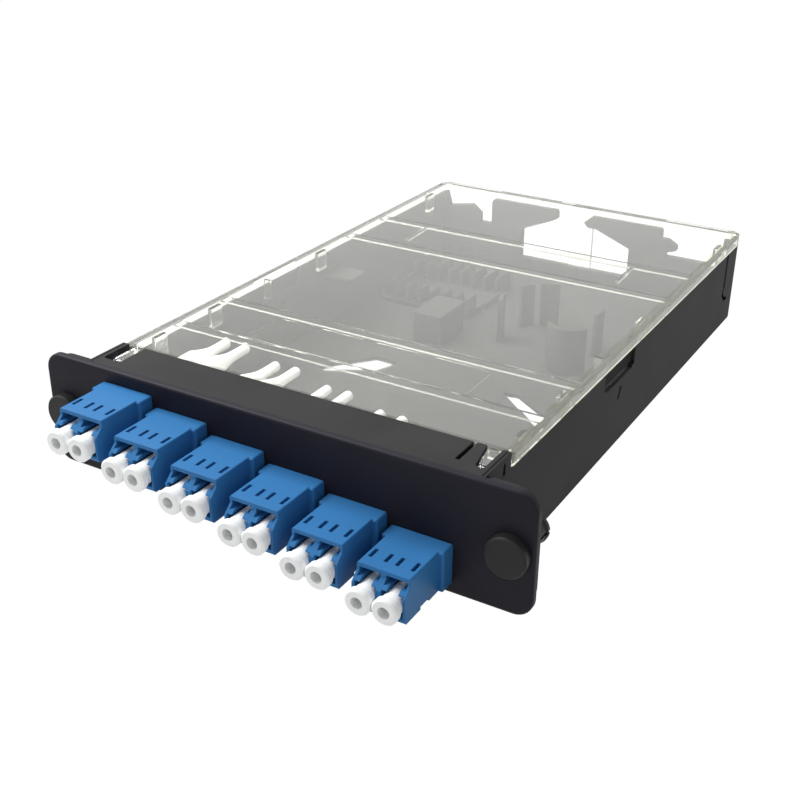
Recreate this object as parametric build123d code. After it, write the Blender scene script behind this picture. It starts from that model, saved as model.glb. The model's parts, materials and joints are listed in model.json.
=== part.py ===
from build123d import *
import os

# Fibre adapter panel: a slim rack cassette with six duplex LC adapters in a falling row, a moulded tray
# for the fibre behind them, and a clear cover that clips on.
# Millimetres. X runs across the front, Y runs back into the rack, Z is up.
# The origin is on the plane where the ears seat against the rack, at the middle of the front plate.

# Front plate and the tray's flange behind it
plate_width = 130.0
plate_height = 29.0
plate_corner_radius = 4.3
plate_thickness = 1.8
plate_edge_round = 0.7
flange_thickness = 1.7
flange_inset = 0.6
flange_corner_radius = 5.4

# Tray
tray_width = 105.0
tray_length = 173.8
tray_wall = 1.9
tray_floor = 1.2
tray_corner_radius = 3.0
tray_above_plate_bottom = 1.2
cover_height = 3.4
shelf_depth = 10.2
shelf_thickness = 1.8
shelf_above_cover = 0.6
rear_wall_thickness = 2.6

# Openings in the tray's rear wall, left to right as seen from the front; drops are from the wall's top
rear_sill_height = 3.8
rear_opening_left = -21.0
rear_opening_right = 17.5
rear_arm_depth = 4.2
rear_arm_slope = 4.6
left_arm_tip = -8.5
right_arm_tip = 1.3
left_post_edge = -32.5
left_entry_width = 4.6
left_entry_drop = 9.1
left_step_drop = 3.6
right_post_edge = 27.8
right_step_edge = 33.0
right_step_drop = 5.2
right_entry_drop = 9.1
right_entry_edge = 48.0

# Latch windows and slits in the tray's side walls
window_front = 62.4
window_length = 20.2
window_height = 4.8
window_recess = 0.7
slit_width = 1.3
small_slit_from_window = 11.0
small_slit_height = 3.2
small_slit_drop = 2.9
small_slit_slant = 1.4
rear_slit_from_end = 13.6
rear_slit_width = 1.9
rear_slit_height = 11.2
rear_slit_foot = 4.6
rear_slit_foot_length = 5.2
key_window_from_end = 4.0
key_window_width = 1.3
key_window_height = 2.8
key_window_drop = 1.3

# Shelf notches for the cover's hooked front tongues, and the slot beside the right one
notch_length = 9.0
notch_corner = 0.8
left_notch_root = 5.1
left_notch_tip = 5.1
right_notch_root = 3.7
right_notch_tip = 1.9
tongue_gap = 0.2
left_tongue_from_wall = 1.4
tongue_thickness = 1.2
tongue_bend = 2.6
tongue_drop = 4.4
tongue_pocket_depth = 0.3
tongue_pocket_clearance = 0.3
shelf_slot_width = 1.0
shelf_slot_length = 8.4
shelf_slot_from_wall = 5.8

# Moulded features on the tray's floor; each place is X and the distance from the tray's rear end
fibre_block_size = (9.6, 15.5, 8.9)
fibre_block_place = (-17.3, 67.3)
guide_wall = 1.4
guide_height = 13.6
scoop_centre = (25.1, 68.2)
scoop_radius = 6.3
scoop_start = 205.0
scoop_end = 345.0
spool_centre = (14.5, 56.8)
spool_radius = 15.6
spool_arcs = ((-8.0, 26.0), (104.0, 126.0), (134.0, 152.0), (186.0, 208.0))
right_floor_slot = ((16.9, 92.8), (21.3, 92.0), (33.5, 100.2), (33.5, 107.0))
left_floor_slot = ((-16.5, 91.8), (-24.2, 91.4), (-35.5, 105.6), (-32.3, 106.6), (-19.8, 99.8))
wall_tab_length = 10.0
wall_tab_width = 9.0
wall_tab_thickness = 1.4
wall_tab_drop = 6.0
wall_tab_from_end = 75.3

# Splice holder clipped to the floor
holder_width = 31.6
holder_length = 31.0
holder_base = 1.2
holder_place = (-30.8, 37.3)
ridge_count = 8
ridge_thickness = 1.6
ridge_height = 4.9
ridge_lengths = (5.6, 9.4)
ridge_inset = 0.6
ridge_top = 0.9
locator_height = 2.0
locator_clearance = 0.1

# Clear cover
cover_plate = 1.5
cover_skirt = 1.5
cover_seat_gap = 0.05
cover_front_gap = 0.15
front_rib = 28.0
pad_rib = 47.2
middle_rib_from_end = 65.2
rear_rib_from_end = 45.2
rib_width = 1.8
rib_depth = 1.1
short_rib_offset = 34.0
short_rib_length = 12.5
pad_half_width = 31.0
pad_margin = 2.6
pad_depth = 0.4
front_snaps = (20.0, 42.0, 92.0)
rear_snap_from_end = 15.8
snap_length = 4.4
snap_thickness = 1.2
snap_drop = 3.6
snap_clearance = 0.3
stop_rib_y = 65.0
stop_rib_thickness = 0.8
rear_tongue_width = 8.0
rear_tongue_thickness = 1.2
rear_tongue_clearance = 0.3

# Duplex adapters
adapter_count = 6
adapter_pitch = 15.75
first_adapter_drop = 3.4
last_adapter_rise = 2.5
adapter_width = 12.4
adapter_height = 9.75
adapter_reach = 15.2
adapter_lip = 2.1
adapter_lip_start = 1.7
adapter_lip_end = 3.6
adapter_rear_reach = 7.7
adapter_edge_round = 0.35
collar_width = 14.8
collar_length = 4.0
collar_chamfer = 0.4
collar_round = 0.5
adapter_clearance = 0.1
latch_wedge_length = 3.0
latch_wedge_height = 0.6
latch_wedge_span = 5.0
latch_pocket_depth = 0.5
latch_pocket_clearance = 0.15
foot_recess_front = 11.0
foot_recess_back = 7.5
foot_recess_depth = 0.7

# Ports in an adapter
port_pitch = 6.25
port_drop = 5.85
port_size = 5.1
keyway_width = 2.7
keyway_ledge = 0.7
keyway_head_width = 4.9
port_roof = 0.9
web_thickness = 2.0
web_back = -4.5
holder_tube_radius = 1.6
holder_tube_length = 12.6
holder_shoulder_radius = 2.2
holder_shoulder_length = 0.8
top_slot_offset = 1.8
top_slot_width = 0.85
top_slot_length = 3.1
top_slot_from_front = 2.8

# Split alignment sleeves and ferrules
ferrule_radius = 0.625
ferrule_length = 6.6
sleeve_fit = 0.01
sleeve_wall = 0.18
sleeve_length = 11.0
sleeve_slit = 0.3
sleeve_seat_gap = 0.03

# Pigtail plugs on the back of the adapters, and their boots
plug_size = 4.6
plug_front = 1.2
plug_length = 16.0
plug_latch_width = 2.2
plug_latch_thickness = 0.8
plug_latch_length = 11.0
plug_latch_gap = 0.75
boot_base_radius = 2.6
boot_tip_radius = 1.35
boot_tip_round = 0.5
boot_bore_radius = 0.6
boot_base_length = 6.0
boot_length = 20.8

# Dust caps
cap_radius = 2.5
cap_ring_radius = 3.0
cap_ring_length = 1.7
cap_front = 20.4
cap_tail_gap = 0.6
cap_edge_round = 0.4
cap_tail_taper = 0.6
cap_hole_radius = 1.35
cap_hole_depth = 6.5

# Push-pull fasteners in the ears
fastener_spacing = 118.8
knob_radius = 4.75
knob_thickness = 2.5
knob_edge = 0.4
grommet_seat_radius = 4.1
grommet_radius = 3.6
grommet_reach = 9.0
grommet_ring_length = 2.6
grommet_leg_slit = 0.8
grommet_waist = 0.35
grommet_barb_length = 2.2
grommet_nose = 0.9
pin_radius = 1.9
pin_running_clearance = 0.08
pin_nose = 0.8
pin_recess = 0.6
hole_clearance = 0.05

# Worked-out places
plate_front = -(plate_thickness + flange_thickness)
flange_front = -flange_thickness
shelf_top = plate_height / 2
tray_bottom = -plate_height / 2 + tray_above_plate_bottom
floor_top = tray_bottom + tray_floor
cover_top = shelf_top - shelf_above_cover
wall_top = cover_top - cover_height
tray_half = tray_width / 2
tray_inner = tray_half - tray_wall
rear_inner = tray_length - rear_wall_thickness
cover_front = shelf_depth + cover_front_gap
cover_underside = cover_top - cover_plate
sill_top = floor_top + rear_sill_height
ridge_pitch = (holder_width - ridge_thickness) / (ridge_count - 1)
tube_centre = web_back - web_thickness / 2
holder_middle = (holder_place[0], tray_length - holder_place[1])
adapter_row_height = plate_height - first_adapter_drop - adapter_height - last_adapter_rise
adapter_step = adapter_row_height / (adapter_count - 1)
rib_places = (front_rib, pad_rib, tray_length - middle_rib_from_end, tray_length - rear_rib_from_end)
snap_places = (*front_snaps, tray_length - rear_snap_from_end)


def block(x, y, z):
    """Box between two limits on each axis."""
    size = (x[1] - x[0], y[1] - y[0], z[1] - z[0])
    return Pos((x[0] + x[1]) / 2, (y[0] + y[1]) / 2, (z[0] + z[1]) / 2) * Box(*size)


def across(outline, y_front, y_back):
    """Extrude an outline drawn in X and Z from one depth to another."""
    plane = Plane(origin=(0, y_front, 0), x_dir=(1, 0, 0), z_dir=(0, -1, 0))
    return extrude(plane * outline, amount=-(y_back - y_front))


def sideways(outline, x_left, x_right):
    """Extrude an outline drawn in Y and Z from one side to the other."""
    plane = Plane(origin=(x_left, 0, 0), x_dir=(0, 1, 0), z_dir=(1, 0, 0))
    return extrude(plane * outline, amount=x_right - x_left)


def upward(outline, z_low, z_high):
    """Extrude an outline drawn in X and Y from one height to another."""
    return extrude(Pos(0, 0, z_low) * outline, amount=z_high - z_low)


def outline_of(*points):
    """Closed straight-sided face through the points."""
    return make_face(Polyline(*points, close=True))


def rod(radius, y_front, y_back, x=0.0, z=0.0):
    """Round bar along Y."""
    plane = Plane(origin=(x, y_front, z), x_dir=(1, 0, 0), z_dir=(0, -1, 0))
    return extrude(plane * Circle(radius), amount=-(y_back - y_front))


def turned(profile_points):
    """Solid of revolution about Y from (radius, y) points, starting and ending on the axis."""
    face = make_face(Polyline(*[(r, y) for r, y in profile_points], close=True))
    return revolve(face, axis=Axis.Y)


def mirrored_pair(shape):
    """The shape and its mirror image across the middle of the cassette."""
    return shape + mirror(shape, about=Plane.YZ)


def adapter_places():
    """X of the middle and Z of the top of each adapter, from left to right."""
    middle = (adapter_count - 1) / 2
    first_top = plate_height / 2 - first_adapter_drop
    return [((i - middle) * adapter_pitch, first_top - i * adapter_step) for i in range(adapter_count)]


def port_places():
    """X and Z of each port's axis, from left to right."""
    places = []
    for x, top in adapter_places():
        places.append((x - port_pitch / 2, top - port_drop))
        places.append((x + port_pitch / 2, top - port_drop))
    return places


def adapter_openings(clearance):
    """Outline of the six rectangular openings that the adapters pass through."""
    openings = Sketch()
    for x, top in adapter_places():
        opening = Rectangle(adapter_width + 2 * clearance, adapter_height + 2 * clearance)
        openings += Pos(x, top - adapter_height / 2) * opening
    return openings


def latch_pockets():
    """Shallow pockets behind the openings, in which the adapters' side latches seat."""
    reach = adapter_width / 2 + latch_wedge_height + latch_pocket_clearance
    half_span = latch_wedge_span / 2 + latch_pocket_clearance
    pockets = Part()
    for x, top in adapter_places():
        middle = top - adapter_height / 2
        span = (middle - half_span, middle + half_span)
        pockets += block((x - reach, x + reach), (-latch_pocket_depth, 0.5), span)
    return pockets


def fastener_holes():
    """Outline of the two round holes in the ears."""
    hole = Circle(grommet_seat_radius + hole_clearance)
    return Pos(-fastener_spacing / 2, 0) * hole + Pos(fastener_spacing / 2, 0) * hole


# Front plate
def make_front_plate():
    outline = RectangleRounded(plate_width, plate_height, plate_corner_radius)
    plate = across(outline, plate_front, flange_front)
    rim = plate.faces().sort_by(Axis.Y)[0].edges()
    plate = fillet(rim, plate_edge_round)
    holes = adapter_openings(adapter_clearance) + fastener_holes()
    return plate - across(holes, plate_front - 1, flange_front + 1)


# Tray
def tray_footprint(length_from, inset=0.0):
    """Plan of the tray from a given depth to its rounded rear corners."""
    half = tray_half - inset
    end = tray_length - inset
    radius = max(tray_corner_radius - inset, 0.5)
    plan = Pos(0, (length_from + end) / 2) * Rectangle(2 * half, end - length_from)
    rear_corners = plan.vertices().group_by(Axis.Y)[-1]
    return fillet(rear_corners, radius)


def rear_wall_outline():
    """Rear wall seen from the front: a low sill with two hooked posts and two cable entries."""
    z0 = tray_bottom
    arm_low = wall_top - rear_arm_depth
    arm_root = arm_low - rear_arm_slope
    left_entry = wall_top - left_entry_drop
    left_step = wall_top - left_step_drop
    step = wall_top - right_step_drop
    entry = wall_top - right_entry_drop
    entry_left = left_post_edge - left_entry_width
    wall = outline_of(
        (-tray_half, z0),
        (-tray_half, wall_top),
        (-tray_inner, wall_top),
        (-tray_inner + 1.5, left_step - 1.5),
        (entry_left - 3.4, left_step),
        (entry_left, left_step - 2.6),
        (entry_left, left_entry),
        (left_post_edge, left_entry),
        (left_post_edge, wall_top),
        (left_arm_tip, wall_top),
        (left_arm_tip, arm_low + 1.0),
        (left_arm_tip - 1.8, arm_low),
        (rear_opening_left, arm_root),
        (rear_opening_left, sill_top),
        (rear_opening_right, sill_top),
        (rear_opening_right, arm_root),
        (right_arm_tip + 4.3, arm_low),
        (right_arm_tip + 1.6, arm_low),
        (right_arm_tip, arm_low + 1.6),
        (right_arm_tip + 2.9, wall_top),
        (right_post_edge, wall_top),
        (right_post_edge, step + 1.7),
        (right_step_edge - 3.0, step + 1.7),
        (right_step_edge, step),
        (right_step_edge, step - 1.5),
        (right_step_edge - 3.3, step - 2.6),
        (right_step_edge - 3.3, entry),
        (right_entry_edge, entry),
        (right_entry_edge, wall_top),
        (tray_half, wall_top),
        (tray_half, z0),
    )
    top = wall.vertices().filter_by(lambda v: abs(v.Z - 0) < 1e-6 and abs(v.Y - wall_top) < 1e-6)
    arm_corners = [v for v in top if -tray_inner + 2 < v.X < right_post_edge + 1]
    return fillet(arm_corners, 1.6)


def side_wall_cuts():
    """Latch window, small slit, rear slit and front key window of the right-hand wall."""
    outside = tray_half + 1
    skin = tray_half - window_recess
    window_back = window_front + window_length
    window_low = wall_top - window_height
    through = (tray_inner - 0.5, outside)
    cuts = block((skin, outside), (window_front, window_back), (window_low, wall_top + 1))
    foot_slit = (window_low - slit_width / 2, window_low + 0.6)
    cuts += block(through, (window_front + 1.8, window_back - 1.6), foot_slit)
    cuts += block(through, (window_back - slit_width, window_back), (window_low + 0.9, wall_top + 1))
    slit_y = window_front + small_slit_from_window
    slit_z = window_low - small_slit_drop
    slanted = outline_of(
        (slit_y, slit_z),
        (slit_y + slit_width, slit_z),
        (slit_y + slit_width - small_slit_slant, slit_z - small_slit_height),
        (slit_y - small_slit_slant, slit_z - small_slit_height),
    )
    cuts += sideways(slanted, *through)
    rear_y = tray_length - rear_slit_from_end
    slit_foot = wall_top - rear_slit_height
    cuts += block(through, (rear_y, rear_y + rear_slit_width), (slit_foot, wall_top + 1))
    hook_low = slit_foot - rear_slit_foot
    hook_end = rear_y + rear_slit_foot_length
    hook = outline_of(
        (rear_y, slit_foot + 0.3),
        (rear_y + 1.1, slit_foot + 0.3),
        (rear_y + 0.9, slit_foot - 1.6),
        (rear_y + 3.2, hook_low + 1.2),
        (hook_end, hook_low + 1.0),
        (hook_end, hook_low),
        (rear_y + 2.6, hook_low + 0.2),
        (rear_y - 0.2, slit_foot - 2.0),
    )
    cuts += sideways(hook, tray_half - 0.9, outside)
    key_y = shelf_depth - key_window_from_end
    key_z = shelf_top - key_window_drop
    key = outline_of(
        (key_y, key_z - key_window_height),
        (key_y + key_window_width, key_z - key_window_height),
        (key_y + key_window_width, key_z),
        (key_y + key_window_width / 2, key_z),
    )
    return cuts + sideways(key, *through)


def notch_plan(root, tip, margin=0.0):
    """Plan of the right-hand shelf notch, narrower at its front, or of what fits in it with a margin."""
    outer = tray_inner - margin
    front = shelf_depth - notch_length + margin
    return outline_of(
        (outer, front),
        (outer, shelf_depth + 1),
        (tray_inner - root + margin, shelf_depth + 1),
        (tray_inner - root + margin, shelf_depth),
        (tray_inner - tip + margin, front),
    )


def shelf_cuts():
    """Notches for the cover's two front tongues, and the slot beside the right one."""
    low = shelf_top - shelf_thickness - 1
    cuts = Part()
    for root, tip, side in ((left_notch_root, left_notch_tip, -1), (right_notch_root, right_notch_tip, 1)):
        notch = upward(notch_plan(root, tip), low, shelf_top + 1)
        notch = fillet(notch.edges().filter_by(Axis.Z).group_by(Axis.Y)[0], notch_corner)
        cuts += notch if side > 0 else mirror(notch, about=Plane.YZ)
    slot_right = tray_inner - shelf_slot_from_wall
    slot_x = (slot_right - shelf_slot_width, slot_right)
    return cuts + block(slot_x, (shelf_depth - shelf_slot_length, shelf_depth + 1), (low, shelf_top + 1))


def tongue_pockets():
    """Shallow pockets in the tray's front wall, which the ends of the hooked tongues face."""
    height = (cover_top - tongue_drop - tongue_pocket_clearance, shelf_top - shelf_thickness)
    depth = (-tongue_pocket_depth, 0.5)
    left = block((-tray_inner, left_notch_root - tray_inner), depth, height)
    return left + block((tray_inner - right_notch_root, tray_inner), depth, height)


def guide_arc(centre_x, distance_from_end, radius, start, end):
    """Upright curved wall that keeps the fibre's bend wide."""
    centre = (centre_x, tray_length - distance_from_end)
    outer = CenterArc(centre, radius, start, end - start)
    inner = CenterArc(centre, radius - guide_wall, start, end - start)
    plan = make_face(outer + inner + Line(outer @ 0, inner @ 0) + Line(outer @ 1, inner @ 1))
    return upward(plan, floor_top - tray_floor / 2, floor_top + guide_height)


def floor_features():
    """Raised block, guide walls, wall tab and the splice holder's locating ribs."""
    width, length, height = fibre_block_size
    bx, block_from_end = fibre_block_place
    low = floor_top - tray_floor / 2
    raised = Pos(bx, tray_length - block_from_end) * RectangleRounded(width, length, 1.0)
    features = upward(raised, low, floor_top + height)
    features += guide_arc(*scoop_centre, scoop_radius, scoop_start, scoop_end)
    for start, end in spool_arcs:
        features += guide_arc(*spool_centre, spool_radius, start, end)
    tab_z = wall_top - wall_tab_drop
    tab_y = tray_length - wall_tab_from_end
    tab = block(
        (-tray_inner - 0.5, -tray_inner + wall_tab_length),
        (tab_y - wall_tab_width / 2, tab_y + wall_tab_width / 2),
        (tab_z - wall_tab_thickness, tab_z),
    )
    features += fillet(tab.edges().filter_by(Axis.Z).group_by(Axis.X)[-1], 2.0)
    hx, hy = holder_middle
    side = holder_width / 2 + locator_clearance
    for direction in (-1, 1):
        edge = hx + direction * side
        limits = sorted((edge, edge + direction * 1.2))
        features += block(limits, (hy - 6, hy + 6), (low, floor_top + locator_height))
    return features


def floor_slots():
    """Slanted openings in the floor, one on each side of the middle."""
    slots = Part()
    for corners in (right_floor_slot, left_floor_slot):
        outline = outline_of(*[(x, tray_length - from_end) for x, from_end in corners])
        slots += upward(outline, tray_bottom - 1, floor_top + 1)
    return slots


def make_base_tray():
    flange_outline = RectangleRounded(
        plate_width - 2 * flange_inset, plate_height - 2 * flange_inset, flange_corner_radius
    )
    flange = across(flange_outline, flange_front, 0)
    shell = upward(tray_footprint(0), tray_bottom, wall_top)
    inside = upward(tray_footprint(-1, tray_wall), floor_top, wall_top + 1)
    inside -= block((-tray_half, tray_half), (rear_inner, tray_length), (tray_bottom, wall_top + 2))
    shell -= inside
    beyond = tray_half + 1
    behind = block((-beyond, beyond), (rear_inner, tray_length + 1), (tray_bottom - 1, wall_top + 1))
    rear = across(rear_wall_outline(), rear_inner, tray_length)
    shell = (shell - behind) + (rear & upward(tray_footprint(0), tray_bottom, wall_top))
    shelf_y = (flange_front, shelf_depth)
    roof = block((-tray_half, tray_half), shelf_y, (shelf_top - shelf_thickness, shelf_top))
    cheek = block((tray_inner, tray_half), shelf_y, (wall_top - 1, shelf_top))
    tray = flange + shell + roof + mirrored_pair(cheek) + floor_features()
    recess = rear_tongue_width / 2 + rear_tongue_clearance
    recess_front = tray_length - rear_tongue_thickness - rear_tongue_clearance
    tray -= block((-recess, recess), (recess_front, tray_length + 1), (sill_top, wall_top + 1))
    tray -= mirrored_pair(side_wall_cuts())
    tray -= shelf_cuts() + floor_slots()
    holes = adapter_openings(adapter_clearance) + fastener_holes()
    return tray - across(holes, flange_front - 1, 0.5) - latch_pockets() - tongue_pockets()


# Splice holder
def make_splice_holder():
    hx, hy = holder_middle
    half = holder_width / 2
    base_top = floor_top + holder_base
    holder = block(
        (hx - half, hx + half), (hy - holder_length / 2, hy + holder_length / 2), (floor_top, base_top)
    )
    holder = fillet(holder.edges().filter_by(Axis.Z), 1.5)
    base_half = ridge_thickness / 2
    top_half = ridge_top / 2
    section = outline_of(
        (-base_half, base_top - holder_base / 2),
        (-base_half, base_top),
        (-top_half, base_top + ridge_height),
        (top_half, base_top + ridge_height),
        (base_half, base_top),
        (base_half, base_top - holder_base / 2),
    )
    front_row, rear_row = ridge_lengths
    front_start = hy - holder_length / 2 + ridge_inset
    rear_end = hy + holder_length / 2 - ridge_inset
    for row in ((front_start, front_start + front_row), (rear_end - rear_row, rear_end)):
        ridge = across(section, *row)
        for i in range(ridge_count):
            x = hx - half + ridge_thickness / 2 + i * ridge_pitch
            holder += Pos(x, 0, 0) * ridge
    return holder


# Clear cover
def cover_tongue(root, tip, from_wall):
    """Right-hand front tongue: it lies in the shelf's notch and its end is hooked down."""
    front = shelf_depth - notch_length + tongue_gap
    back = cover_front + 1
    inner_bend = tongue_bend - tongue_thickness
    low = cover_top - tongue_drop
    hook = make_face(
        Line((back, cover_top), (front + tongue_bend, cover_top))
        + RadiusArc((front + tongue_bend, cover_top), (front, cover_top - tongue_bend), -tongue_bend)
        + Line((front, cover_top - tongue_bend), (front, low))
        + Line((front, low), (front + tongue_thickness, low))
        + Line((front + tongue_thickness, low), (front + tongue_thickness, cover_top - tongue_bend))
        + RadiusArc(
            (front + tongue_thickness, cover_top - tongue_bend),
            (front + tongue_bend, cover_top - tongue_thickness),
            inner_bend,
        )
        + Line((front + tongue_bend, cover_top - tongue_thickness), (back, cover_top - tongue_thickness))
        + Line((back, cover_top - tongue_thickness), (back, cover_top))
    )
    strip = sideways(hook, tray_inner - root, tray_inner - from_wall - tongue_gap)
    return strip & upward(notch_plan(root, tip, tongue_gap), low - 1, cover_top + 1)


def make_clear_cover():
    plan = tray_footprint(cover_front)
    front_corners = plan.vertices().group_by(Axis.Y)[0]
    plan = fillet(front_corners, 1.5)
    cover = upward(plan, wall_top + cover_seat_gap, cover_top)
    inner = tray_half - cover_skirt
    hollow = block(
        (-inner, inner),
        (cover_front + cover_skirt, tray_length - cover_skirt),
        (wall_top - 1, cover_underside),
    )
    cover -= fillet(hollow.edges().filter_by(Axis.Z), 2.0)
    open_half = inner - 4
    open_height = (wall_top - 1, cover_underside)
    cover -= block((-open_half, open_half), (cover_front - 1, cover_front + 2), open_height)
    rib_z = (cover_underside - rib_depth, cover_underside + 0.2)
    reach = inner + 0.2
    for y in rib_places:
        cover += block((-reach, reach), (y - rib_width / 2, y + rib_width / 2), rib_z)
    short_rib_sides = (short_rib_offset - rib_width / 4, short_rib_offset + rib_width / 4)
    short_rib = block(short_rib_sides, (rib_places[3] - short_rib_length, rib_places[3]), rib_z)
    pad_y = (rib_places[0] + pad_margin, rib_places[1] - pad_margin)
    pad_z = (cover_underside - pad_depth, cover_underside + 0.2)
    pad = block((-pad_half_width, pad_half_width), pad_y, pad_z)
    pad = fillet(pad.edges().filter_by(Axis.Z), 2.0)
    left_tongue = cover_tongue(left_notch_root, left_notch_tip, left_tongue_from_wall)
    left_tongue = mirror(left_tongue, about=Plane.YZ)
    tongues = left_tongue + cover_tongue(right_notch_root, right_notch_tip, 0)
    snap_face = tray_inner - snap_clearance
    snap_low = wall_top - snap_drop
    snaps = Part()
    for y in snap_places:
        snap = block(
            (snap_face - snap_thickness, snap_face),
            (y - snap_length / 2, y + snap_length / 2),
            (snap_low, cover_underside + 0.2),
        )
        snaps += chamfer(snap.edges().filter_by(Axis.Y).group_by(Axis.Z)[0].sort_by(Axis.X)[-1], 0.5)
    stop = block(
        (snap_face - 2.0, snap_face),
        (stop_rib_y - stop_rib_thickness / 2, stop_rib_y + stop_rib_thickness / 2),
        (snap_low, cover_underside + 0.2),
    )
    half = rear_tongue_width / 2
    rear_tongue = block(
        (-half, half),
        (tray_length - rear_tongue_thickness, tray_length),
        (sill_top + rear_tongue_clearance, cover_underside + 0.2),
    )
    return cover + mirrored_pair(short_rib + snaps + stop) + tongues + pad + rear_tongue


# Duplex adapter, drawn with its top at zero height and its middle at zero width
def port_cut():
    """Mouth, latch keyway and rear socket of one port, on its own axis."""
    half = port_size / 2
    ledge_top = half + keyway_ledge
    roof = port_drop - port_roof
    mouth = Rectangle(port_size, port_size)
    mouth += Pos(0, half + keyway_ledge / 2) * Rectangle(keyway_width, keyway_ledge + 0.2)
    mouth += Pos(0, (ledge_top + roof) / 2) * Rectangle(keyway_head_width, roof - ledge_top)
    front = plate_front - adapter_reach - adapter_lip - 1
    web_front = web_back - web_thickness
    cut = across(mouth, front, web_front)
    cut += across(mouth, web_back, adapter_rear_reach + 1)
    return cut + rod(holder_tube_radius + sleeve_seat_gap, web_front - 1, web_back + 1)


def adapter_side_profile():
    """Side view: the lower lips stand further forward than the roof, and the foot has a recess."""
    front = plate_front - adapter_reach
    lip = front - adapter_lip
    recess_front = plate_front - foot_recess_front
    recess_back = plate_front - foot_recess_back
    recess_top = -adapter_height + foot_recess_depth
    return outline_of(
        (front, 0),
        (front, -adapter_lip_start),
        (lip, -adapter_lip_end),
        (lip, -adapter_height + 0.6),
        (lip + 0.6, -adapter_height),
        (recess_front, -adapter_height),
        (recess_front, recess_top),
        (recess_back, recess_top),
        (recess_back, -adapter_height),
        (adapter_rear_reach, -adapter_height),
        (adapter_rear_reach, 0),
    )


def make_adapter():
    half = adapter_width / 2
    body = sideways(adapter_side_profile(), -half, half)
    long_edges = body.edges().filter_by(Axis.Y).group_by(Axis.Z)[-1]
    body = fillet(long_edges, adapter_edge_round)
    collar_outline = RectangleRounded(collar_width, adapter_height, collar_round)
    collar_outline = Pos(0, -adapter_height / 2) * collar_outline
    collar = across(collar_outline, plate_front - collar_length, plate_front)
    sides = collar.faces().sort_by(Axis.Y)[0].edges().filter_by(Axis.Z)
    body += chamfer(sides, collar_chamfer)
    wedge_front = adapter_clearance - latch_pocket_depth
    wedge = outline_of(
        (half - 0.3, wedge_front),
        (half + latch_wedge_height, wedge_front),
        (half, wedge_front + latch_wedge_length),
        (half - 0.3, wedge_front + latch_wedge_length),
    )
    wedge_mid = -adapter_height / 2
    wedge = upward(wedge, wedge_mid - latch_wedge_span / 2, wedge_mid + latch_wedge_span / 2)
    body += mirrored_pair(wedge)
    slot_front = plate_front - adapter_reach + top_slot_from_front
    slot_y = (slot_front, slot_front + top_slot_length)
    for side in (-1, 1):
        port_x = side * port_pitch / 2
        body -= Pos(port_x, 0, -port_drop) * port_cut()
        for offset in (-top_slot_offset, top_slot_offset):
            x = port_x + offset
            body -= block((x - top_slot_width / 2, x + top_slot_width / 2), slot_y, (-port_roof - 0.5, 1))
    return body


# Tube that holds the alignment sleeve, on the port's axis, with a shoulder against the web
def make_sleeve_holder():
    seat = ferrule_radius + sleeve_fit + sleeve_wall + sleeve_seat_gap
    lead = ferrule_radius + sleeve_seat_gap
    half_sleeve = sleeve_length / 2 + sleeve_seat_gap
    front = tube_centre - holder_tube_length / 2
    back = tube_centre + holder_tube_length / 2
    shoulder = web_back + holder_shoulder_length
    return turned([
        (lead, front),
        (holder_tube_radius, front),
        (holder_tube_radius, web_back),
        (holder_shoulder_radius, web_back),
        (holder_shoulder_radius, shoulder),
        (holder_tube_radius, shoulder),
        (holder_tube_radius, back),
        (lead, back),
        (lead, tube_centre + half_sleeve),
        (seat, tube_centre + half_sleeve),
        (seat, tube_centre - half_sleeve),
        (lead, tube_centre - half_sleeve),
    ])


# Split alignment sleeve, on the port's axis
def make_sleeve():
    inner = ferrule_radius + sleeve_fit
    sleeve_front = tube_centre - sleeve_length / 2
    sleeve_back = tube_centre + sleeve_length / 2
    sleeve = rod(inner + sleeve_wall, sleeve_front, sleeve_back)
    sleeve -= rod(inner, sleeve_front - 1, sleeve_back + 1)
    return sleeve - block((-sleeve_slit / 2, sleeve_slit / 2), (sleeve_front - 1, sleeve_back + 1), (0, 2))


# Pigtail plug on its own axis: square housing, thumb latch and ceramic ferrule
def make_plug():
    half = plug_size / 2
    back = plug_front + plug_length
    housing = block((-half, half), (plug_front, back), (-half, half))
    housing = chamfer(housing.edges().filter_by(Axis.Y), 0.4)
    latch_low = half + plug_latch_gap
    root = plug_front + 2.0
    latch = outline_of(
        (root - 1.0, half - 0.2),
        (root, latch_low + plug_latch_thickness),
        (root + plug_latch_length, latch_low + plug_latch_thickness + 0.7),
        (root + plug_latch_length, latch_low + 0.7),
        (root + 1.6, latch_low),
        (root + 1.6, half - 0.2),
    )
    return housing + sideways(latch, -plug_latch_width / 2, plug_latch_width / 2)


def make_boot():
    start = plug_front + plug_length
    tip = start + boot_length
    return turned([
        (boot_bore_radius, start),
        (boot_base_radius, start),
        (boot_base_radius, start + boot_base_length),
        (boot_tip_radius, tip - boot_tip_round),
        (boot_tip_radius - boot_tip_round, tip),
        (boot_bore_radius, tip),
    ])


def make_ferrule():
    return rod(ferrule_radius, plug_front - ferrule_length, plug_front)


# Dust cap on its own axis
def make_dust_cap():
    front = plate_front - cap_front
    tail = tube_centre - holder_tube_length / 2 - cap_tail_gap
    ring_back = front + cap_ring_length
    return turned([
        (0, front + cap_hole_depth),
        (cap_hole_radius, front + cap_hole_depth),
        (cap_hole_radius, front),
        (cap_ring_radius - cap_edge_round, front),
        (cap_ring_radius, front + cap_edge_round),
        (cap_ring_radius, ring_back),
        (cap_radius, ring_back),
        (cap_radius, tail - cap_tail_taper),
        (cap_radius - cap_tail_taper, tail),
        (0, tail),
    ])


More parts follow.
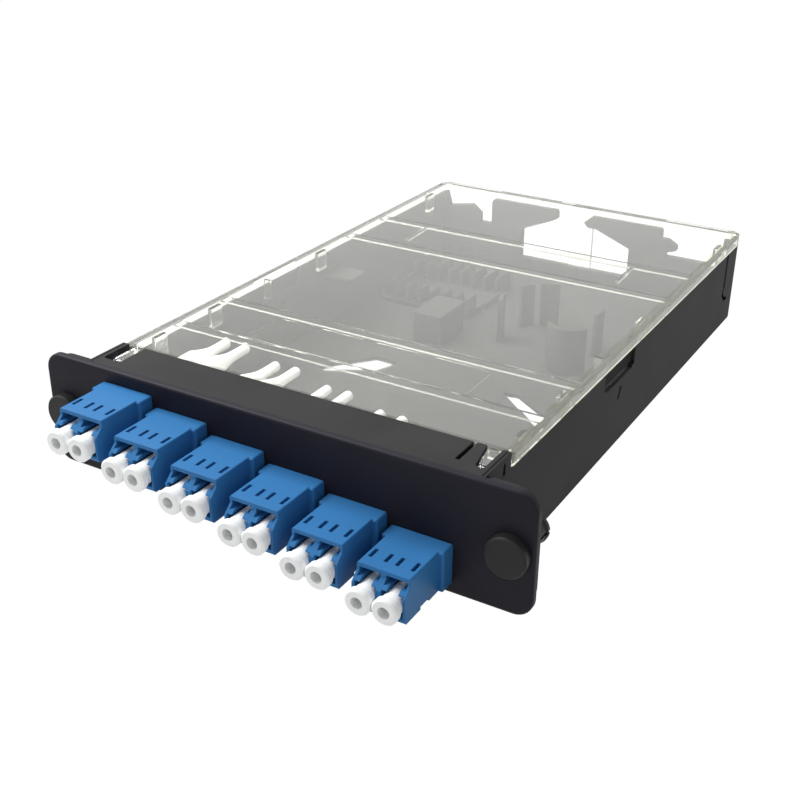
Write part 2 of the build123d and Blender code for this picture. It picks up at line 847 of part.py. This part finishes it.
# Push-pull fastener on its own axis: a knob with a pin, and the split grommet that it spreads
def make_knob():
    front = plate_front - knob_thickness
    pin_end = grommet_reach - pin_recess
    return turned([
        (0, front),
        (knob_radius - knob_edge, front),
        (knob_radius, front + knob_edge),
        (knob_radius, plate_front),
        (pin_radius, plate_front),
        (pin_radius, pin_end - pin_nose),
        (pin_radius - pin_nose, pin_end),
        (0, pin_end),
    ])


def make_grommet():
    bore = pin_radius + pin_running_clearance
    front = plate_front + hole_clearance
    waist = grommet_radius - grommet_waist
    barb_start = grommet_reach - grommet_barb_length
    shell = turned([
        (bore, front),
        (grommet_seat_radius, front),
        (grommet_seat_radius, 0),
        (grommet_radius, 0),
        (grommet_radius, grommet_ring_length),
        (waist, grommet_ring_length + grommet_waist),
        (waist, barb_start),
        (grommet_radius, barb_start + grommet_waist),
        (grommet_radius, grommet_reach - grommet_nose),
        (grommet_radius - grommet_nose, grommet_reach),
        (bore, grommet_reach),
    ])
    legs = (grommet_ring_length + grommet_waist, grommet_reach + 1)
    half = grommet_leg_slit / 2
    wide = grommet_radius + 1
    shell -= block((-half, half), legs, (-wide, wide))
    return shell - block((-wide, wide), legs, (-half, half))


def build_all():
    """Every piece in its place, by name."""
    pieces = {
        "front_plate": make_front_plate(),
        "base_tray": make_base_tray(),
        "splice_holder": make_splice_holder(),
        "clear_cover": make_clear_cover(),
    }
    adapter = make_adapter()
    for i, (x, top) in enumerate(adapter_places(), start=1):
        pieces[f"duplex_adapter_{i}"] = Pos(x, 0, top) * adapter
    on_axis = {
        "dust_cap": make_dust_cap(),
        "pigtail_plug": make_plug(),
        "plug_boot": make_boot(),
    }
    for i, (x, z) in enumerate(port_places(), start=1):
        for name, shape in on_axis.items():
            pieces[f"{name}_{i:02d}"] = Pos(x, 0, z) * shape
    in_groups = {
        "sleeve_holders": make_sleeve_holder(),
        "alignment_sleeves": make_sleeve(),
        "ceramic_ferrules": make_ferrule(),
    }
    for name, shape in in_groups.items():
        pieces[name] = Compound(children=[Pos(x, 0, z) * shape for x, z in port_places()])
    knob = make_knob()
    grommet = make_grommet()
    for side, x in (("left", -fastener_spacing / 2), ("right", fastener_spacing / 2)):
        pieces[f"push_pull_knob_{side}"] = Pos(x, 0, 0) * knob
        pieces[f"split_grommet_{side}"] = Pos(x, 0, 0) * grommet
    return pieces


os.makedirs("parts", exist_ok=True)
for node, piece in build_all().items():
    export_step(piece, f"parts/{node}.step")
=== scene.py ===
import json
import math
import bmesh
import bpy
from mathutils import Matrix, Vector


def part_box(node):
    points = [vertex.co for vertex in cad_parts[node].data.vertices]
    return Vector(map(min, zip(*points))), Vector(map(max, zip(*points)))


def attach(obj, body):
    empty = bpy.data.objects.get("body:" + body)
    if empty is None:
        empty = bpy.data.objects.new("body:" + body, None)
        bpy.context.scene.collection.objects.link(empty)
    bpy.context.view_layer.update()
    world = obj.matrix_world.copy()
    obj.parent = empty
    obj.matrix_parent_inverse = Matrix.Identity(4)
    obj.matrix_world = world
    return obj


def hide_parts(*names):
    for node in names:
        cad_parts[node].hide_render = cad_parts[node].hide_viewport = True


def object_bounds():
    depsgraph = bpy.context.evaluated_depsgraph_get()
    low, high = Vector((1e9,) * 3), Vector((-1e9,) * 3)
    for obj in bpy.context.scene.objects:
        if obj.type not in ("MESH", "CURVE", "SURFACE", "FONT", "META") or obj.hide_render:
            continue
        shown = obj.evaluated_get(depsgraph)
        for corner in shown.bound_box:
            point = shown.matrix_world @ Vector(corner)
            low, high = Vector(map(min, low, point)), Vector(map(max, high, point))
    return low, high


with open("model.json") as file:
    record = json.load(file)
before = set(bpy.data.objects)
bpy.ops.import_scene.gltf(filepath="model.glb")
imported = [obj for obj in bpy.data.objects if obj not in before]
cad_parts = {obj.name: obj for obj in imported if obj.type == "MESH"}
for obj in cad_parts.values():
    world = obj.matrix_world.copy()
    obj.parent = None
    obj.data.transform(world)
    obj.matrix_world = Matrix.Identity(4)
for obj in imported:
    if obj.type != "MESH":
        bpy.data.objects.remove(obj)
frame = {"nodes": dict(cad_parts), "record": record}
CAD_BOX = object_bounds()

MM = 0.001
CLOSE = 0.01 * MM

# Camera: where it stands, which way it looks and how wide its view is
CAMERA_PLACE = Vector((0.14004, -0.1843, 0.13355))
CAMERA_AZIMUTH = math.radians(30.40)
CAMERA_ELEVATION = math.radians(26.85)
CAMERA_ROLL = math.radians(0.437)
CAMERA_LENS_MM = 53.51
CAMERA_SENSOR_MM = 36.0
CAMERA_CLIP_START = 10.0 * MM

# Light: the room's level, how much brighter its white is through clear plastic, and the lamp
ROOM_LEVEL = 0.5
GLASS_BOOST = 0.25
KEY_PLACE = Vector((-0.26, 0.02, 0.34))
KEY_AIM = Vector((-0.02, 0.06, 0.0))
KEY_SIZE = 0.24
KEY_POWER = 2.2

# Floor: its size, how far it lies under the panel and the share of its white that shows light and shadow
FLOOR_SIZE = 3.0
FLOOR_GAP = 0.2 * MM
FLOOR_LIT_SHARE = 0.01
FLOOR_GREY = (0.8, 0.8, 0.8)

# Colours, as linear values
NAVY_BLACK = (0.0135, 0.0122, 0.0190)
TRAY_BLACK = (0.044, 0.044, 0.0445)
# painted shade for the sunken faces of the tray's latch windows
RECESS_SHADE = (0.010, 0.010, 0.010)
NYLON_BLACK = (0.017, 0.017, 0.0165)
ADAPTER_BLUE = (0.036, 0.172, 0.41)
CAP_WHITE = (0.94, 0.95, 0.95)
PLUG_WHITE = (0.88, 0.89, 0.88)
CERAMIC_WHITE = (0.86, 0.86, 0.83)

# Finishes: the middle part of a noise that counts, and the sizes of the patterns
NOISE_MIDDLE = (0.3, 0.7)
CLOUD_SCALE = 60.0
FLOW_SCALE = 35.0
FLOW_HEIGHT = 0.02 * MM
MOTTLE_SCALE = 260.0
GLOSS_SPREAD = 0.05
COAT_ROUGHNESS = 0.12

# Painted shade in the tray: how far corners are painted darker, and the depths between which a face is in a
# latch window and painted dark as shade
CREASE_REACH = 3.0 * MM
WINDOW_NEAR = (0.45 * MM, 0.55 * MM)
WINDOW_FAR = (1.0 * MM, 0.9 * MM)

# Clear cover: colour of its faces, colour and density of its depth, and refraction
COVER_TINT = (0.985, 0.988, 0.962)
COVER_DEPTH_COLOUR = (0.80, 0.84, 0.50)
COVER_DEPTH = 28.0
COVER_INDEX = 1.47
COVER_CLEARNESS = 0.97

# Clear cover: greenish painted shade along its right-hand rail and painted shade at its front and rear edges
COVER_FRONT = 10.35 * MM
RAIL_SHADE = (0.68, 0.68, 0.54)
RAIL_WIDTH = 2.0 * MM
RAIL_FADE = 0.4 * MM
END_SHADE = (0.30, 0.30, 0.25)
END_FADE = 0.1 * MM
END_EDGE_HEIGHT = 0.7 * MM
FRONT_EDGE_SHARE = 0.7
FRONT_EDGE_WIDTH = 1.7 * MM
REAR_EDGE_WIDTH = 0.45 * MM

# Clear cover: rounding of its sharp edges
EDGE_ANGLE = math.radians(28)
FLAT_ANGLE = math.radians(0.5)
MERGE_DISTANCE = 0.001 * MM
COVER_EDGE = 0.12 * MM
COVER_RIM_EDGE = 0.35 * MM
COVER_RIB_EDGE = 0.3 * MM

# Clear cover: its plate and the ribs under it, how far the ribs run back and what is left of their depth
COVER_PLATE = 1.5 * MM
RIB_PLACES = (28.0 * MM, 47.2 * MM, 108.6 * MM, 128.6 * MM)
RIB_HALF_WIDTH = 0.9 * MM
RIB_LEAST_DEPTH = 0.3 * MM
RIB_MOST_DEPTH = 1.2 * MM
RIB_RUN_BACK = 1.4 * MM
RIB_DEPTH_LEFT = 0.55
RIB_SPAN_SHARE = 0.8

# Boots of the pigtail plugs, from the end of the plug's housing
BOOT_SHOULDER = 7.0 * MM
BOOT_NECK = 15.2 * MM
BOOT_BASE_RADIUS = 2.9 * MM
BOOT_TAIL_RADIUS = 1.3 * MM
BOOT_END_FULLNESS = 0.8
BOOT_SIDES = 40
BOOT_FLARE_STEPS = 8
BOOT_END_STEPS = 6


class Nodes:
    """A new material's node tree, with short calls for the nodes that the finishes share."""

    def __init__(self, name):
        self.material = bpy.data.materials.new(name)
        self.material.use_nodes = True
        self.tree = self.material.node_tree
        self.shader = self.tree.nodes["Principled BSDF"]
        self.output = self.tree.nodes["Material Output"]
        self.place = self.tree.nodes.new("ShaderNodeTexCoord").outputs["Object"]

    def add(self, kind, **sockets):
        node = self.tree.nodes.new(kind)
        for name, value in sockets.items():
            self.set(node, name.replace("_", " "), value)
        return node

    def set(self, node, name, value):
        """Put a plain value on a socket, or link another node's output to it."""
        if isinstance(value, bpy.types.NodeSocket):
            self.tree.links.new(value, node.inputs[name])
        elif isinstance(value, tuple) and node.inputs[name].type == "RGBA":
            node.inputs[name].default_value = (*value, 1.0)
        else:
            node.inputs[name].default_value = value

    def noise(self, scale, detail=3.0, roughness=0.5):
        node = self.add("ShaderNodeTexNoise", Vector=self.place, Scale=scale, Detail=detail)
        self.set(node, "Roughness", roughness)
        return node.outputs["Fac"]

    def mapped(self, value, start, end, low=0.0, high=1.0):
        """A number that moves from low to high as the value goes from start to end."""
        node = self.add("ShaderNodeMapRange", From_Min=start, From_Max=end, To_Min=low, To_Max=high)
        self.tree.links.new(value, node.inputs["Value"])
        return node.outputs["Result"]

    def between(self, low, high, amount):
        """A number from low to high that follows a noise."""
        return self.mapped(amount, *NOISE_MIDDLE, low, high)

    def maths(self, operation, first, second):
        node = self.tree.nodes.new("ShaderNodeMath")
        node.operation = operation
        self.set(node, 0, first)
        self.set(node, 1, second)
        return node.outputs["Value"]

    def product(self, first, second):
        return self.maths("MULTIPLY", first, second)

    def mix(self, first, second, amount, blend="MIX"):
        """The first colour, changed towards the second by an amount."""
        node = self.tree.nodes.new("ShaderNodeMix")
        node.data_type = "RGBA"
        node.blend_type = blend
        self.set(node, "A", first)
        self.set(node, "B", second)
        self.set(node, "Factor", amount)
        return node.outputs["Result"]

    def axes(self):
        """The surface's place along each axis."""
        return self.add("ShaderNodeSeparateXYZ", Vector=self.place).outputs

    def shade(self, colour, spread, amount):
        """The colour, a little darker and lighter over the surface."""
        dark = tuple(c * (1 - spread) for c in colour)
        light = tuple(min(c * (1 + spread), 1.0) for c in colour)
        return self.mix(dark, light, self.between(0.0, 1.0, amount))

    def shaded_in_creases(self, colour):
        """The colour with painted shade: darker in slits and corners that little light gets into."""
        shade = self.add("ShaderNodeAmbientOcclusion", Distance=CREASE_REACH)
        shade.samples = 8
        return self.mix(colour, shade.outputs["Color"], 1.0, "MULTIPLY")

    def shaded_in_windows(self, colour, outer):
        """The colour with painted shade: darker in the latch windows of the side walls, whose outer faces are
        at outer.
        """
        side = self.maths("ABSOLUTE", self.axes()["X"], 0.0)
        sunk = self.mapped(side, *(outer - depth for depth in WINDOW_NEAR))
        shallow = self.mapped(side, *(outer - depth for depth in WINDOW_FAR))
        # painted shade: the sunken window faces are tinted near black
        return self.mix(colour, RECESS_SHADE, self.product(sunk, shallow))

    def shade_on_cover_edges(self, colour, high):
        """The cover's colour with painted shade: greener and darker in patches along its right-hand rail, and
        darker at its front and rear edges.
        """
        axes = self.axes()
        rail_start = high.x - RAIL_WIDTH
        rail = self.mapped(axes["X"], rail_start - RAIL_FADE, rail_start)
        mottle = self.between(0.35, 1.0, self.noise(MOTTLE_SCALE, 1.0))
        # painted shade: the rail is tinted darker and greener in patches
        railed = self.mix(colour, RAIL_SHADE, self.product(rail, mottle))

        rear_start = high.y - REAR_EDGE_WIDTH
        rear = self.mapped(axes["Y"], rear_start - END_FADE, rear_start)
        front_end = COVER_FRONT + FRONT_EDGE_WIDTH
        front = self.mapped(axes["Y"], front_end, front_end - END_FADE)
        ahead = self.mapped(axes["Y"], COVER_FRONT - END_FADE, COVER_FRONT)
        front = self.product(self.product(front, ahead), FRONT_EDGE_SHARE)
        top_start = high.z - END_EDGE_HEIGHT
        top = self.mapped(axes["Z"], top_start - END_FADE, top_start)
        # painted shade: the front and rear edges are tinted darker
        return self.mix(railed, END_SHADE, self.product(self.maths("MAXIMUM", rear, front), top))

    def surface(self, grain, height, strength, edge):
        """The surface's direction, with its edges softened over a radius and a fine grain."""
        rounded = self.add("ShaderNodeBevel", Radius=edge)
        rounded.samples = 6
        bump = self.add("ShaderNodeBump", Strength=strength, Distance=height, Height=grain)
        self.set(bump, "Normal", rounded.outputs["Normal"])
        return bump.outputs["Normal"]


def moulded(name, colour, spread, roughness, grain, edge, specular=0.5, coat=0.0, shade_recesses=False):
    """Moulded plastic or a coating: slight changes of colour and gloss, a fine grain and soft edges."""
    n = Nodes(name)
    grain_size, grain_height = grain
    pattern = n.noise(1.0 / grain_size, 2.0, 0.6)
    shaded = n.shade(colour, spread, n.noise(CLOUD_SCALE, 2.0))
    # painted shade: the tray's creases and latch windows are painted darker
    if shade_recesses:
        shaded = n.shaded_in_windows(n.shaded_in_creases(shaded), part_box("clear_cover")[1].x)
    n.set(n.shader, "Base Color", shaded)
    n.set(n.shader, "Roughness", n.between(roughness - GLOSS_SPREAD, roughness + GLOSS_SPREAD, pattern))
    n.set(n.shader, "Normal", n.surface(pattern, grain_height, 0.6, edge))
    n.set(n.shader, "Specular IOR Level", specular)
    n.set(n.shader, "Coat Weight", coat)
    n.set(n.shader, "Coat Roughness", COAT_ROUGHNESS)
    return n.material


def clear_moulding(name):
    """Clear polycarbonate: smooth glass-like faces with a faint flow pattern and tinted depth."""
    n = Nodes(name)
    flow = n.noise(FLOW_SCALE, 2.0)
    faces = n.shade(COVER_TINT, 0.01, flow)
    n.set(n.shader, "Base Color", n.shade_on_cover_edges(faces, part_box("clear_cover")[1]))
    n.set(n.shader, "Roughness", n.between(0.015, 0.035, flow))
    n.set(n.shader, "Normal", n.surface(flow, FLOW_HEIGHT, 0.1, 0.05 * MM))
    n.set(n.shader, "Transmission Weight", COVER_CLEARNESS)
    n.set(n.shader, "IOR", COVER_INDEX)
    depth = n.add("ShaderNodeVolumeAbsorption", Color=COVER_DEPTH_COLOUR, Density=COVER_DEPTH)
    n.set(n.output, "Volume", depth.outputs["Volume"])
    return n.material


FINISHES = {
    "coated_plate": moulded(
        "navy_black_coat", NAVY_BLACK, spread=0.10, roughness=0.50,
        grain=(0.45 * MM, 0.012 * MM), edge=0.4 * MM, specular=0.14,
    ),
    "black_moulding": moulded(
        "black_moulded", TRAY_BLACK, spread=0.08, roughness=0.52,
        grain=(0.25 * MM, 0.012 * MM), edge=0.25 * MM, specular=0.03, shade_recesses=True,
    ),
    "clear_moulding": clear_moulding("clear_moulded"),
    "blue_adapter": moulded(
        "blue_moulded", ADAPTER_BLUE, spread=0.05, roughness=0.42,
        grain=(0.18 * MM, 0.006 * MM), edge=0.18 * MM, specular=0.10,
    ),
    "white_cap": moulded(
        "white_cap_moulded", CAP_WHITE, spread=0.03, roughness=0.45,
        grain=(0.2 * MM, 0.006 * MM), edge=0.2 * MM,
    ),
    "white_plug": moulded(
        "white_plug_moulded", PLUG_WHITE, spread=0.03, roughness=0.35,
        grain=(0.2 * MM, 0.004 * MM), edge=0.15 * MM,
    ),
    "white_boot": moulded(
        "white_boot_rubber", PLUG_WHITE, spread=0.04, roughness=0.62,
        grain=(0.2 * MM, 0.008 * MM), edge=0.2 * MM, specular=0.3,
    ),
    "ceramic_white": moulded(
        "polished_ceramic", CERAMIC_WHITE, spread=0.02, roughness=0.12,
        grain=(0.3 * MM, 0.001 * MM), edge=0.03 * MM, specular=0.6, coat=0.3,
    ),
    "black_nylon": moulded(
        "black_nylon_moulded", NYLON_BLACK, spread=0.08, roughness=0.42,
        grain=(0.3 * MM, 0.010 * MM), edge=0.3 * MM, specular=0.2,
    ),
}


def dress_nodes():
    """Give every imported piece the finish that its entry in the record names."""
    for entry in frame["record"]["subparts"]:
        piece = frame["nodes"][entry["node"]]
        piece.data.materials.clear()
        piece.data.materials.append(FINISHES[entry["material_slot"]])


def thin_ribs(form, underside):
    """Make the ribs under the cover's plate shallower and run their rear faces back."""
    for vert in form.verts:
        near = min(RIB_PLACES, key=lambda y: abs(vert.co.y - y))
        hangs = underside - RIB_MOST_DEPTH < vert.co.z < underside + CLOSE
        if hangs and abs(vert.co.y - near) < RIB_HALF_WIDTH + CLOSE:
            vert.co.z = underside - (underside - vert.co.z) * RIB_DEPTH_LEFT
            if vert.co.y > near:
                vert.co.y += RIB_RUN_BACK


def round_edges(form, chosen, radius, segments):
    """Round the chosen sharp edges of a form."""
    sharp = [e for e in form.edges if len(e.link_faces) == 2 and e.calc_face_angle() > EDGE_ANGLE]
    bmesh.ops.bevel(
        form, geom=[e for e in sharp if chosen(e)], offset=radius, offset_type="OFFSET",
        segments=segments, profile=0.5, affect="EDGES", clamp_overlap=True,
    )


def make_soft_cover():
    """The clear cover with thinner ribs and rounded edges: a wide round on its rim, a small one elsewhere."""
    source = frame["nodes"]["clear_cover"]
    cover = bpy.data.objects.new("clear_cover_soft", source.data.copy())
    bpy.context.scene.collection.objects.link(cover)
    cover.matrix_world = source.matrix_world.copy()
    low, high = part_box("clear_cover")
    span = RIB_SPAN_SHARE * (high.x - low.x)
    underside = high.z - COVER_PLATE

    def on_rim(edge):
        return all(v.co.z > high.z - CLOSE for v in edge.verts)

    def under_rib(edge):
        ends = [v.co for v in edge.verts]
        depths = [underside - end.z for end in ends]
        across = abs(ends[0].x - ends[1].x) > span
        return across and all(RIB_LEAST_DEPTH < depth < RIB_MOST_DEPTH for depth in depths)

    form = bmesh.new()
    form.from_mesh(cover.data)
    bmesh.ops.remove_doubles(form, verts=form.verts, dist=MERGE_DISTANCE)
    bmesh.ops.dissolve_limit(form, angle_limit=FLAT_ANGLE, verts=form.verts, edges=form.edges)
    thin_ribs(form, underside)
    round_edges(form, under_rib, COVER_RIB_EDGE, 4)
    round_edges(form, on_rim, COVER_RIM_EDGE, 3)
    round_edges(form, lambda edge: True, COVER_EDGE, 2)
    form.to_mesh(cover.data)
    form.free()

    cover.visible_shadow = False
    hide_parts("clear_cover")
    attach(cover, "cover")


def boot_profile(length):
    """Radius and distance along a boot: a plain base, a hollow flare and a thin tail with a rounded end."""
    points = [(BOOT_BASE_RADIUS, 0.0)]
    for i in range(BOOT_FLARE_STEPS + 1):
        step = i / BOOT_FLARE_STEPS
        drop = (BOOT_BASE_RADIUS - BOOT_TAIL_RADIUS) * math.sin(step * math.pi / 2)
        points.append((BOOT_BASE_RADIUS - drop, BOOT_SHOULDER + (BOOT_NECK - BOOT_SHOULDER) * step))
    for i in range(BOOT_END_STEPS + 1):
        turn = i / BOOT_END_STEPS * math.pi / 2
        along = length - BOOT_TAIL_RADIUS * (1 - math.sin(turn)) * BOOT_END_FULLNESS
        points.append((max(BOOT_TAIL_RADIUS * math.cos(turn), CLOSE), along))
    return points


def make_boot(node):
    """A plug's boot, turned about the plug's axis."""
    low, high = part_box(node)
    x, z = (low.x + high.x) / 2, (low.z + high.z) / 2
    turns = [2 * math.pi * i / BOOT_SIDES for i in range(BOOT_SIDES)]
    form = bmesh.new()
    rings = []
    for radius, along in boot_profile(high.y - low.y):
        rings.append([
            form.verts.new((x + radius * math.cos(a), low.y + along, z + radius * math.sin(a))) for a in turns
        ])
    for ring, after in zip(rings, rings[1:]):
        for i in range(BOOT_SIDES):
            j = (i + 1) % BOOT_SIDES
            form.faces.new((ring[i], after[i], after[j], ring[j]))
    form.faces.new(rings[0])
    form.faces.new(reversed(rings[-1]))
    bmesh.ops.recalc_face_normals(form, faces=form.faces)

    mesh = bpy.data.meshes.new(f"{node}_soft")
    form.to_mesh(mesh)
    form.free()
    for face in mesh.polygons:
        face.use_smooth = len(face.vertices) == 4
    mesh.materials.append(FINISHES["white_boot"])
    boot = bpy.data.objects.new(f"{node}_soft", mesh)
    bpy.context.scene.collection.objects.link(boot)
    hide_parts(node)
    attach(boot, "panel")


class Surround:
    """Nodes that the white room and the white floor share."""

    def __init__(self, tree):
        self.nodes = tree.nodes
        self.links = tree.links

    def maths(self, operation, *values):
        node = self.nodes.new("ShaderNodeMath")
        node.operation = operation
        for socket, value in zip(node.inputs, values):
            if isinstance(value, bpy.types.NodeSocket):
                self.links.new(value, socket)
            else:
                socket.default_value = value
        return node.outputs["Value"]

    def mix(self, amount, first, second):
        """The first shader where the amount is 0, the second where it is 1."""
        node = self.nodes.new("ShaderNodeMixShader")
        for socket, value in zip(node.inputs, (amount, first, second)):
            self.links.new(value, socket)
        return node.outputs["Shader"]

    def seen_rays(self):
        """1 for rays from the camera, a mirror or glass, and 0 for light that falls on matt surfaces."""
        path = self.nodes.new("ShaderNodeLightPath").outputs
        mirrored = self.maths("MAXIMUM", path["Is Camera Ray"], path["Is Glossy Ray"])
        return self.maths("MAXIMUM", mirrored, path["Is Transmission Ray"])

    def seen_level(self, level):
        """The level of the white for seen rays, a little more through clear plastic, which dims it."""
        path = self.nodes.new("ShaderNodeLightPath").outputs
        return self.maths("MULTIPLY_ADD", path["Is Transmission Ray"], GLASS_BOOST * level, level)


def make_room():
    """A white surround that shows in clear and glossy surfaces and lights the rest at the room's level."""
    world = bpy.data.worlds.new("room")
    bpy.context.scene.world = world
    world.use_nodes = True
    s = Surround(world.node_tree)
    room = s.nodes["Background"]
    white = s.nodes.new("ShaderNodeBackground")
    for background in (room, white):
        background.inputs["Color"].default_value = (1.0, 1.0, 1.0, 1.0)
    room.inputs["Strength"].default_value = ROOM_LEVEL
    s.links.new(s.seen_level(1.0), white.inputs["Strength"])
    both = s.mix(s.seen_rays(), room.outputs["Background"], white.outputs["Background"])
    s.links.new(both, s.nodes["World Output"].inputs["Surface"])


def make_floor():
    """White floor under the panel, which takes a faint shadow and isn't there from below."""
    bpy.ops.mesh.primitive_plane_add(size=FLOOR_SIZE, location=(0, 0, CAD_BOX[0].z - FLOOR_GAP))
    floor = bpy.context.object
    floor.name = "floor"
    material = bpy.data.materials.new("white_floor")
    material.use_nodes = True
    s = Surround(material.node_tree)
    s.nodes.remove(s.nodes["Principled BSDF"])
    lit = s.nodes.new("ShaderNodeBsdfDiffuse")
    lit.inputs["Color"].default_value = (*FLOOR_GREY, 1.0)
    glow = s.nodes.new("ShaderNodeEmission")
    s.links.new(s.seen_level(1.0 / (1 - FLOOR_LIT_SHARE)), glow.inputs["Strength"])
    share = s.maths("MULTIPLY", s.seen_rays(), 1 - FLOOR_LIT_SHARE)
    top = s.mix(share, lit.outputs["BSDF"], glow.outputs["Emission"])
    gone = s.nodes.new("ShaderNodeBsdfTransparent")
    side = s.nodes.new("ShaderNodeNewGeometry")
    both = s.mix(side.outputs["Backfacing"], top, gone.outputs["BSDF"])
    s.links.new(both, s.nodes["Material Output"].inputs["Surface"])
    floor.data.materials.append(material)


def aimed(place, forward):
    """Matrix of a camera or lamp at a place, looking along a direction with its top up."""
    right = forward.cross(Vector((0, 0, 1))).normalized()
    up = right.cross(forward).normalized()
    return Matrix.Translation(place) @ Matrix((right, up, -forward)).transposed().to_4x4()


def make_lamp(name, place, aim, size, power):
    lamp = bpy.data.lights.new(name, "AREA")
    lamp.shape = "SQUARE"
    lamp.size = size
    lamp.energy = power
    holder = bpy.data.objects.new(name, lamp)
    bpy.context.scene.collection.objects.link(holder)
    holder.matrix_world = aimed(place, (aim - place).normalized())


def make_camera():
    flat = math.cos(CAMERA_ELEVATION)
    forward = Vector((
        -math.sin(CAMERA_AZIMUTH) * flat,
        math.cos(CAMERA_AZIMUTH) * flat,
        -math.sin(CAMERA_ELEVATION),
    ))
    camera = bpy.data.cameras.new("camera")
    camera.sensor_width = CAMERA_SENSOR_MM
    camera.lens = CAMERA_LENS_MM
    camera.clip_start = CAMERA_CLIP_START
    holder = bpy.data.objects.new("camera", camera)
    bpy.context.scene.collection.objects.link(holder)
    holder.matrix_world = aimed(CAMERA_PLACE, forward) @ Matrix.Rotation(CAMERA_ROLL, 4, "Z")
    bpy.context.scene.camera = holder


dress_nodes()
make_soft_cover()
for name in frame["nodes"]:
    if name.startswith("plug_boot"):
        make_boot(name)
make_room()
make_floor()
make_lamp("key", KEY_PLACE, KEY_AIM, KEY_SIZE, KEY_POWER)
make_camera()
bpy.context.scene.view_settings.view_transform = "Standard"
